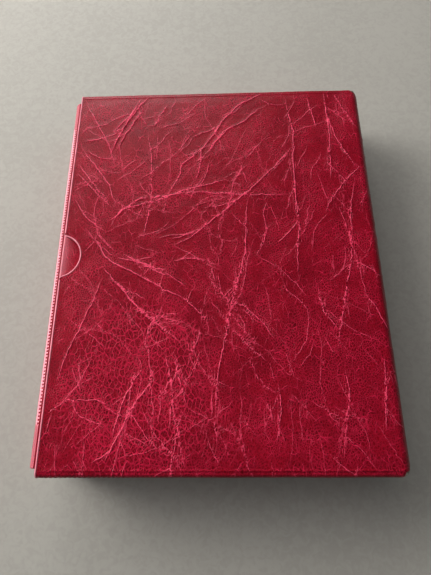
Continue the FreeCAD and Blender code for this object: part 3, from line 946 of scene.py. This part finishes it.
def roughened(line, rng, spacing=3.0, stray=0.32):
    """The line again with more points, each a little off it."""
    line = np.array(line, float)
    run = np.concatenate([[0], np.cumsum(np.hypot(*np.diff(line, axis=0).T))])
    at = np.linspace(0, run[-1], max(3, round(run[-1] / spacing)))
    places = np.stack([np.interp(at, run, line[:, k]) for k in (0, 1)], axis=1)
    places[1:-1] += [(rng.gauss(0, stray), rng.gauss(0, stray)) for _ in places[1:-1]]
    return places


def front_slant(across, down):
    """Which way the sheet is drawn: one leans right going down, minus one leans left, nought is upright."""
    left = 1 - ease(across, 40, 85)
    upper = 1 - ease(down, 150, 200)
    fan = ease(down, 140, 170) * (1 - ease(down, 220, 260)) * (1 - ease(across, 90, 150))
    slanting = -0.9 * ease(across, 60, 95) * (1 - ease(across, 185, 225)) * (1 - ease(down, 110, 180))
    return np.clip(left * upper + fan + slanting, -1, 1)


def front_heading(across, down, rng):
    """The way that folds run at a place on the front."""
    slant = float(front_slant(across, down))
    heading = -math.pi / 2 + 0.75 * slant
    if rng.random() < 0.28:
        heading += -1.4 * slant if abs(slant) > 0.4 else rng.choice((-0.8, 0.8))
    return heading + rng.gauss(0, 0.17)


def front_folds():
    """All the folds of the front, in the frame's x and y: main ones, their branches, and scattered ones."""
    rng = random.Random(11)
    folds = []
    for height, line in MAIN_FOLDS:
        places = [(mouth + across, half_height - down) for across, down in line]
        folds.append((height, roughened(places, rng)))
        run = np.diff(np.array(places), axis=0)
        for (x, y), (dx, dy) in zip(places[:-1], run):
            if rng.random() < min(0.42, 1.2 * height):
                heading = math.atan2(dy, dx) + rng.choice((-1, 1)) * rng.uniform(0.25, 0.6)
                share = rng.random()
                start = (x + dx * share, y + dy * share)
                branch = wander(start, heading, rng.uniform(14, 40), rng, 0.14)
                folds.append((height * rng.uniform(0.35, 0.65), roughened(branch, rng)))
    rng = random.Random(12)
    for _ in range(14):
        start = (mouth + rng.uniform(56, 128), half_height - rng.uniform(188, 285))
        line = wander(start, -math.pi / 2 + rng.gauss(0, 0.14), rng.uniform(25, 60), rng, 0.16)
        folds.append((rng.uniform(0.14, 0.24), roughened(line, rng, 3.0, 0.4)))
    for _ in range(330):
        across, down = rng.uniform(5, 252), rng.uniform(3, 322)
        heading = front_heading(across, down, rng)
        length = rng.uniform(12, 36) * rng.choice((1, 1, 2))
        line = wander((mouth + across, half_height - down), heading, length, rng, 0.15)
        folds.append((rng.uniform(0.06, 0.19), roughened(line, rng, 3.0, 0.32)))
    return folds


def scattered_folds(seed, wide, tall, count, lean):
    """Folds for a face that isn't the front: a few long and many short, leaning one way."""
    rng = random.Random(seed)
    folds = []
    for number in range(count):
        long = number % 9 == 0
        start = (rng.uniform(*wide), rng.uniform(*tall))
        length = rng.uniform(50, 120) if long else rng.uniform(8, 30)
        line = wander(start, lean + rng.gauss(0, 0.5), length, rng, 0.16)
        folds.append((rng.uniform(0.22, 0.36) if long else rng.uniform(0.08, 0.2), roughened(line, rng)))
    return folds


# %% [markdown]
# Each point asks how far it is from the nearest fold line and on which side. The height of the ridge
# fades towards the line's ends, and a shallow trough lies on both sides of it, because the vinyl that
# makes the ridge is drawn from beside it.

# %% Fold relief
FOLD_HALF_WIDTH = 0.8
FOLD_REACH = 4.2
FAR = 9.0  # the offset stored where no fold is near


def fold_relief(flat, folds):
    """Height, offset from the nearest fold and that fold's strength, for points on a face."""
    height = np.zeros(len(flat))
    offset = np.full(len(flat), FAR)
    strength = np.zeros(len(flat))
    order = np.argsort(flat[:, 1])
    sorted_y = flat[order, 1]
    for rise, line in folds:
        low, high = line.min(axis=0) - FOLD_REACH, line.max(axis=0) + FOLD_REACH
        some = order[np.searchsorted(sorted_y, low[1]) : np.searchsorted(sorted_y, high[1])]
        some = some[(flat[some, 0] > low[0]) & (flat[some, 0] < high[0])]
        if not len(some):
            continue
        near, side, along = nearest_on_line(flat[some], line)
        taper = np.clip(np.minimum(along, 1 - along) * 5, 0, 1) ** 0.7
        ridge = bell(near, 0, FOLD_HALF_WIDTH)
        trough = bell(near, 1.9, 0.9)
        rise_here = rise * taper * min(1.0, rise / 0.2)
        height[some] = np.maximum(height[some], rise_here * ridge) - 0.16 * rise_here * trough
        closer = near < np.abs(offset[some])
        offset[some] = np.where(closer, side * near, offset[some])
        felt = np.clip(rise / 0.28, 0.2, 1.5) * taper * (1 - ease(near, 1.3, 3.0))
        strength[some] = np.where(closer, felt, strength[some])
    return height, offset, strength


def nearest_on_line(points, line):
    """Distance to a line, the side it is on, and how far along the nearest place is."""
    best = np.full(len(points), 1e9)
    side = np.ones(len(points))
    along = np.zeros(len(points))
    for number, (start, end) in enumerate(zip(line[:-1], line[1:])):
        run = end - start
        share = np.clip((points - start) @ run / (run @ run), 0, 1)
        off = points - start - share[:, None] * run
        distance = np.hypot(off[:, 0], off[:, 1])
        better = distance < best
        best[better] = distance[better]
        cross = run[0] * off[:, 1] - run[1] * off[:, 0]
        side[better] = np.where(cross[better] < 0, -1, 1)
        along[better] = (number + share[better]) / (len(line) - 1)
    return best, side, along


def soft_lumps(places, size, seed):
    """Smooth lumps about size millimetres across, between minus one and one."""
    shift = Vector((seed * 7.1, seed * 3.3, seed * 5.7))
    return np.array([noise.noise(Vector(place) / size + shift) for place in places])


# %% [markdown]
# Now the relief is laid on the case. Each of its five faces has its own folds, and where the surface
# turns from one face to the next the reliefs are mixed by how far it has turned. The rolled rim stays
# clean. Along the head and tail edges the panel's leatherette ends a wall's width inside the edge, which
# shows as a thin step, and near the mouth the strip under it is puckered.

# %% Lay the relief on the case
EDGE_BAND = 3.6  # from an edge of the case to where the panel's leatherette ends
SWELL = 0.42  # how far the padded middle stands above the edges


def face_weights(normals):
    """How much each point belongs to front, rear, back, head and tail, from the way it faces."""
    facing = [normals[:, 2], -normals[:, 2], normals[:, 0], normals[:, 1], -normals[:, 1]]
    weight = np.clip(np.stack(facing), 0, 1) ** 3
    return weight / np.maximum(weight.sum(axis=0), 1e-6)


def mouth_fade(places):
    """Nought on the rolled rim and one a little way in from it."""
    from_bowl = np.hypot(places[:, 0] - bowl_x, places[:, 1]) - BOWL_RADIUS
    inside = np.minimum(places[:, 0] - mouth, from_bowl)
    walls = (places[:, 2] > EDGE_BAND) & (places[:, 2] < case_top - EDGE_BAND)
    inside = np.where(walls, places[:, 0] - mouth, inside)
    return ease(inside, RIM_START, RIM_START + 4)


def edge_step(places):
    """The pasted edge of the panel, beside the head and tail edges, and the puckers near the mouth."""
    reach = np.abs(places[:, 1])
    low_side = np.minimum(places[:, 2], case_top - places[:, 2])
    on_face = low_side < EDGE_RADIUS
    line = half_height - EDGE_BAND
    step_line = -0.34 * bell(reach, line, 0.45)
    lip = 0.2 * bell(reach, line - 1.1, 0.7)
    from_mouth = places[:, 0] - mouth
    puckered = bell(from_mouth, 0, 75) * (places[:, 1] < 0) + 0.3
    wave = np.sin(from_mouth * (2 * math.pi / 3.3) + 2.2 * low_side)
    on_edge = ease(reach, line + 0.4, line + 1.6)
    return np.where(on_face, step_line + lip + 0.17 * puckered * wave * on_edge, 0)


def swelling(places, normals):
    """The padded middle of the front and rear, which stands a little above their pressed-down edges."""
    x, y = places[:, 0], places[:, 1]
    inside = np.minimum(x - mouth, np.hypot(x - bowl_x, y) - BOWL_RADIUS)
    from_edges = (1 - ease(np.abs(y), half_height - 14, half_height - 3)) * ease(inside, RIM_START, 18)
    return SWELL * from_edges * ease(np.abs(normals[:, 2]), 0.7, 1.0)


def unroll_case(places, normals):
    """Lays the covering out flat: the walls fold out from the front, and the rear lies beside them."""
    x, y, z = places.T
    sideways = np.maximum(np.hypot(normals[:, 0], normals[:, 1]), 1e-6)
    drop = case_top - z
    rear = drop > case_top - 1.0
    across = x + drop * np.clip(normals[:, 0] / sideways, 0, 1) * (drop > 0.3)
    along = y + drop * (normals[:, 1] / sideways) * (drop > 0.3) * (np.abs(normals[:, 0]) < 0.999)
    return np.where(rear, x + 700, across), np.where(rear, y, along)


def dress_case():
    """Fold, pucker and craze the case's covering, and paint highlights along its rims."""
    places, normals = mesh_arrays(case_cover)
    store_sheet(case_cover, *unroll_case(places, normals))
    weights = face_weights(normals)
    x, y, z = places.T
    wide, tall, deep = (mouth, back), (-half_height, half_height), (0, case_top)
    faces = [
        ((x, y), front_folds()),
        ((x, y), scattered_folds(23, wide, tall, 210, 1.0)),
        ((y, z), scattered_folds(31, tall, deep, 70, 0.4)),
        ((x, z), scattered_folds(37, wide, deep, 60, 0.3)),
        ((x, z), scattered_folds(41, wide, deep, 60, -0.3)),
    ]
    rise, offset, strength = np.zeros(len(x)), np.full(len(x), FAR), np.zeros(len(x))
    main_face = weights.argmax(axis=0)
    for number, (flat, folds) in enumerate(faces):
        some = np.flatnonzero(weights[number] > 0.01)
        height, off, strong = fold_relief(np.stack(flat, axis=1)[some], folds)
        rise[some] += weights[number][some] * height
        own = main_face[some] == number
        offset[some[own]], strength[some[own]] = off[own], strong[own]
    clean = mouth_fade(places)
    lumps = soft_lumps(places, 34.0, 2) * 0.22 + soft_lumps(places, 9.0, 5) * 0.09
    edge = edge_step(places)
    raised = swelling(places, normals) + (rise + lumps + edge) * clean
    move_points(case_cover, places + normals * raised[:, None])
    store(case_cover, "fold_offset", offset)
    store(case_cover, "fold_strength", strength * clean)
    across, down = x - mouth, half_height - y
    crushed = 1.1 * bell(across, 66, 60) * bell(down, 265, 72)
    lower = 0.4 * ease(down, 190, 290)
    craze = np.where(main_face == 0, np.maximum(crushed, lower), 0.3 + 0.25 * soft_lumps(places, 40.0, 9))
    store(case_cover, "craze", craze * clean)
    store(case_cover, "slant", np.where(main_face == 0, front_slant(across, down), 0))
    # painted highlight, with a little real rubbing: a pale line along the top of the rolled rim round the
    # mouth and notch, and a fainter one on the wall's inner edge, where the rims catch the light
    from_bowl = np.hypot(x - bowl_x, y) - BOWL_RADIUS
    from_rim = np.where(np.abs(y) < flare_y, from_bowl, across)
    rim = bell(from_rim, 0.75, 0.6) * (np.abs(normals[:, 2]) > 0.3)
    edge_depth = np.minimum(case_top - z, z) - 2.6
    inner_rim = 0.7 * bell(edge_depth, 0, 0.4) * (np.abs(from_rim) < 0.9)
    painted_sheen = np.maximum(rim, inner_rim) * (0.75 + 0.25 * soft_lumps(places, 6.0, 8))
    store(case_cover, "wear_and_painted_light", painted_sheen)
    print("folds up to", round(float(rise.max()), 2), "mm high")


dress_case()
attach(case_cover, "case")
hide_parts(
    "case_front_skin",
    "case_rear_skin",
    "case_back_skin",
    "case_head_strip",
    "case_tail_strip",
)

# %% [markdown]
# ## The album's cover
#
# One sheet of leatherette wraps two cover boards and a spine board. Its section is a long U on its side,
# swept from tail to head. Along both hinges the sheet is welded: an outer groove crossed by ribs, which
# shows as a row of small pits, and a plain groove beside it. The ribs stop short of the ends. The points
# are close together there and wide apart over the boards.

# %% Album cover
cover_low, cover_high = box_mm("album_cover_skin")
SHOULDER = 5.5
RIB_PITCH = 2.45
RIBBED_END = 29.0  # the ribs stop this far from the head and the tail
RIBBED_GROOVE = 2.15  # from where the shoulder starts to bend, down towards the spine
PLAIN_GROOVE = 0.5
BOARD_SIDE = -0.9  # the edge of the cover board, on the flat
COVER_THICK = 3.26
HINGE_THICK = 1.3
ROWS_PER_RIB = 4
EDGE_ROUND = 1.3


def cover_path():
    """Places along the outside of the section, from the rear fore-edge round the spine to the front one.

    Each comes with the way out, and with how far it is past the nearer shoulder's start.
    """
    spine, fore = cover_low[0], cover_high[0]
    low, high = cover_low[2], cover_high[2]
    past_weld = spine + SHOULDER + 6
    to_weld = np.linspace(fore - EDGE_ROUND, past_weld, 34)[:-1]
    flat_run = np.concatenate([to_weld, np.linspace(6, 0, 17)[:-1] + spine + SHOULDER])
    angle = np.linspace(0, math.pi / 2, 25)
    spine_run = np.linspace(low + SHOULDER, high - SHOULDER, 14)[1:-1]
    half = [((x, low), (0.0, -1.0), spine + SHOULDER - x) for x in flat_run]
    for a in angle:
        out = (-math.sin(a), -math.cos(a))
        place = (spine + SHOULDER * (1 + out[0]), low + SHOULDER * (1 + out[1]))
        half.append((place, out, SHOULDER * a))
    upper = [((x, low + high - z), (ox, -oz), past) for (x, z), (ox, oz), past in reversed(half)]
    middle = [((spine, z), (-1.0, 0.0), 2 * SHOULDER) for z in spine_run]
    return half + middle + upper


def ribbed_share(y):
    """One where the hinge's groove is ribbed, and nought near the head and the tail."""
    span = half_cover - RIBBED_END
    return 1 - ease(np.abs(y), span - 1.5, span + 1.5)


def hinge_relief(past, y):
    """How deep the welds are at a distance past the shoulder's start, along the whole hinge."""
    ribbed = ribbed_share(y)
    pits = 0.5 + 0.5 * np.cos(2 * math.pi * y / RIB_PITCH)
    depth = 0.3 + ribbed * (0.75 * pits - 0.2)
    groove = bell(past, RIBBED_GROOVE, 0.7) * depth
    shoulders = ribbed * 0.15 * (1 - pits) * bell(past, RIBBED_GROOVE, 1.1)
    plain = 0.42 * bell(past, PLAIN_GROOVE, 0.42)
    board = 0.16 * bell(past, BOARD_SIDE, 0.5)
    return board + shoulders - groove - plain


def hinge_whitening_and_painted_light(places):
    """The hinge's paler and darker marks: the weld band, whitened by the weld and by painted highlight,
    painted shade in the pits and the plain groove, and painted highlight on the board's edge and the cover
    beside it.
    """
    x, y, z = places.T
    drop = np.minimum(z - cover_low[2], cover_high[2] - z)
    angle = np.arctan2(cover_low[0] + SHOULDER - x, np.maximum(SHOULDER - drop, 0.01))
    past = SHOULDER * np.clip(angle, 0, math.pi / 2)
    bent = x < cover_low[0] + SHOULDER
    ribbed = ribbed_share(y)
    # the weld band is paled, partly by the weld's whitening and partly as painted highlight
    band = ease(past, 0.8, 1.5) * (1 - ease(past, 4.5, 6.0)) * bent
    # painted shade: the rib pits, and the plain groove below, are darkened
    pits = ease(np.cos(2 * math.pi * y / RIB_PITCH), -0.1, 0.8) * bell(past, RIBBED_GROOVE, 0.7)
    groove = bell(past, 0.45, 0.5) * bent
    inward = x - cover_low[0] - SHOULDER
    # painted highlight along the cover board's edge
    board = bell(inward, -BOARD_SIDE, 0.55) * ~bent
    # painted light on the cover beside the hinge, fading away from it
    painted_sheen = 0.34 * bell(inward, 0, 6.5) * ~bent
    outside = drop < 1.0
    flat = np.maximum(0.75 * board, painted_sheen) * outside
    band *= 0.35 + 0.37 * ribbed
    return band - 1.5 * ribbed * pits * bent - 0.6 * groove + flat


def cover_thickness(past):
    """Boards make the cover thick; at the hinge there is only the sheet and its lining."""
    at_board = 1 - ease(past, -0.7, -0.2)
    at_spine = ease(past, SHOULDER * 1.2, SHOULDER * 1.5)
    return HINGE_THICK + (COVER_THICK - HINGE_THICK) * max(at_board, at_spine)


half_cover = cover_high[1]
row_count = 2 * round(half_cover / (RIB_PITCH / ROWS_PER_RIB)) + 1
outer_rows = np.linspace(-half_cover + EDGE_ROUND, half_cover - EDGE_ROUND, row_count)
inner_rows = np.linspace(half_cover - EDGE_ROUND, -half_cover + EDGE_ROUND, 40)


def cover_loop(place, out, past, pinch=1.0):
    """One slice of the cover: along the outside, round the head edge, back inside, round the tail edge."""
    thick = cover_thickness(past)
    middle = np.array(place) - np.array(out) * thick / 2
    outside = thick / 2 * pinch + hinge_relief(past, outer_rows) * (pinch == 1.0)
    turn = np.linspace(0, math.pi, 8)[1:-1]
    head_y = half_cover - EDGE_ROUND + EDGE_ROUND * np.sin(turn)
    edge = thick / 2 * pinch * np.cos(turn)
    y = np.concatenate([outer_rows, head_y, inner_rows, -head_y])
    off = np.concatenate([outside, edge, np.full(len(inner_rows), -thick / 2 * pinch), -edge])
    return np.stack([middle[0] + out[0] * off, y, middle[1] + out[1] * off], axis=1)


def build_album_cover():
    """The cover's slices joined up, with its two fore-edges rounded off."""
    path = cover_path()
    slices = [cover_loop(*entry) for entry in path]
    for turn in (0.35, 0.7, 1.05, 1.35):
        pinched = []
        for (x, z), out, past in (path[0], path[-1]):
            place = (x + EDGE_ROUND * math.sin(turn), z)
            pinched.append(cover_loop(place, out, past, math.cos(turn)))
        slices = [pinched[0], *slices, pinched[1]]
    grid = np.stack(slices)
    grid = np.concatenate([grid, grid[:, :1]], axis=1)
    piece = Patchwork()
    numbers = piece.add_points(grid)
    piece.faces += grid_faces(numbers).tolist()
    piece.faces.append(numbers[0, :-1].tolist())
    piece.faces.append(numbers[-1, :-1][::-1].tolist())
    return piece.make("album_cover", cover_leatherette)


def dress_album():
    """A few soft folds on the cover, which the case has kept smoother than itself."""
    places, normals = mesh_arrays(album_cover)
    inward, drop = places[:, 0] - cover_low[0], cover_high[2] - places[:, 2]
    front = drop < (cover_high[2] - cover_low[2]) / 2
    store_sheet(album_cover, np.where(front, inward - drop, -inward - drop), places[:, 1])
    flat = np.where(front, normals[:, 2], -normals[:, 2]) > 0.8
    wide, tall = (cover_low[0], cover_high[0]), (-half_cover, half_cover)
    folds = scattered_folds(53, wide, tall, 240, 0.9)
    offset, strength = np.full(len(places), FAR), np.zeros(len(places))
    height, off, strong = fold_relief(places[flat][:, :2], folds)
    offset[flat], strength[flat] = off, strong * 0.9
    hinge = ease(places[:, 0] - cover_low[0], 9, 16)
    lumps = (soft_lumps(places, 40.0, 4) * 0.18)[flat] + 0.5 * height
    places[flat] += normals[flat] * (lumps * hinge[flat])[:, None]
    move_points(album_cover, places)
    store(album_cover, "fold_offset", offset)
    store(album_cover, "fold_strength", strength * hinge)
    store(album_cover, "craze", (0.25 + 0.2 * soft_lumps(places, 30.0, 6)) * hinge)
    store(album_cover, "slant", np.zeros(len(places)))
    # the hinge's whitening, painted highlights and painted shade
    store(album_cover, "wear_and_painted_light", hinge_whitening_and_painted_light(places))


album_cover = build_album_cover()
dress_album()
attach(album_cover, "album")
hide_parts("album_cover_skin")

# %% [markdown]
# ## The leaves
#
# A stock leaf is a card with strips on both faces that hold the stamps, so it is thin at its margins and
# thick between them. Held at the posts, the leaves spread to fill the covers towards the fore-edge. No
# two line up exactly: each sits a little in or out and lies a little wavy.

# %% Leaves
CARD = 0.5
MARGIN = 5.0
LEAVES = [f"leaf_{number + 1:02d}" for number in range(24)]
flap_side = box_mm("front_binding_flap")[1][0]
page_low = box_mm("rear_endpaper")[1][2]
page_high = box_mm("front_endpaper")[0][2]
stack_low, stack_high = box_mm(LEAVES[0])[0][2], box_mm(LEAVES[-1])[1][2]


def build_leaf(node, rng):
    """One leaf, spread away from its neighbours past the binding flap."""
    low, high = box_mm(node)
    thick = high[2] - low[2]
    middle = (low[2] + high[2]) / 2
    share = (middle - stack_low) / (stack_high - stack_low)
    spread = page_low + 0.9 + share * (page_high - page_low - 1.8)
    slip_x, slip_y = rng.uniform(-0.5, 0.5), rng.uniform(-0.35, 0.35)
    x = np.concatenate([[low[0], low[0] + 1], np.linspace(low[0] + MARGIN, high[0] - MARGIN, 22)])
    x = np.concatenate([x, [high[0] - MARGIN + 0.6, high[0] - 1, high[0]]])
    y = np.linspace(low[1] + MARGIN, high[1] - MARGIN, 18)
    y = np.concatenate([[low[1], low[1] + MARGIN - 0.6], y, [high[1] - MARGIN + 0.6, high[1]]])
    grid_x, grid_y = np.meshgrid(x, y, indexing="ij")
    rise = ease(grid_x, flap_side - 6, flap_side + 50)
    phase = rng.uniform(0, 6.28)
    wave = 0.12 * np.sin(grid_y / 31 + phase) * rise + 0.08 * np.sin(grid_x / 23 + phase) * rise
    centre = middle + (spread - middle) * rise + wave
    inner_x = (grid_x >= low[0] + MARGIN) & (grid_x <= high[0] - MARGIN)
    inner_y = (grid_y >= low[1] + MARGIN) & (grid_y <= high[1] - MARGIN)
    half = np.where(inner_x & inner_y, thick / 2, CARD / 2)
    moved_x = grid_x + slip_x * ease(grid_x, flap_side, high[0])
    moved_y = grid_y + slip_y
    upper = np.stack([moved_x, moved_y, centre + half], axis=-1)
    lower = np.stack([moved_x, moved_y, centre - half], axis=-1)
    piece = Patchwork()
    piece.add_grid(upper)
    piece.add_grid(lower, flip=True)
    piece.add_grid(np.stack([lower[0], upper[0]]))
    piece.add_grid(np.stack([lower[-1], upper[-1]]), flip=True)
    piece.add_grid(np.stack([lower[:, 0], upper[:, 0]]), flip=True)
    piece.add_grid(np.stack([lower[:, -1], upper[:, -1]]))
    return piece.make("sheet_" + node, leaf_card, smooth=False)


leaf_rng = random.Random(7)
for node in LEAVES:
    leaf = build_leaf(node, leaf_rng)
    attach(leaf, "album")
    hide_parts(node)
print("spread", len(LEAVES), "leaves over", round(float(page_high - page_low), 1), "mm")
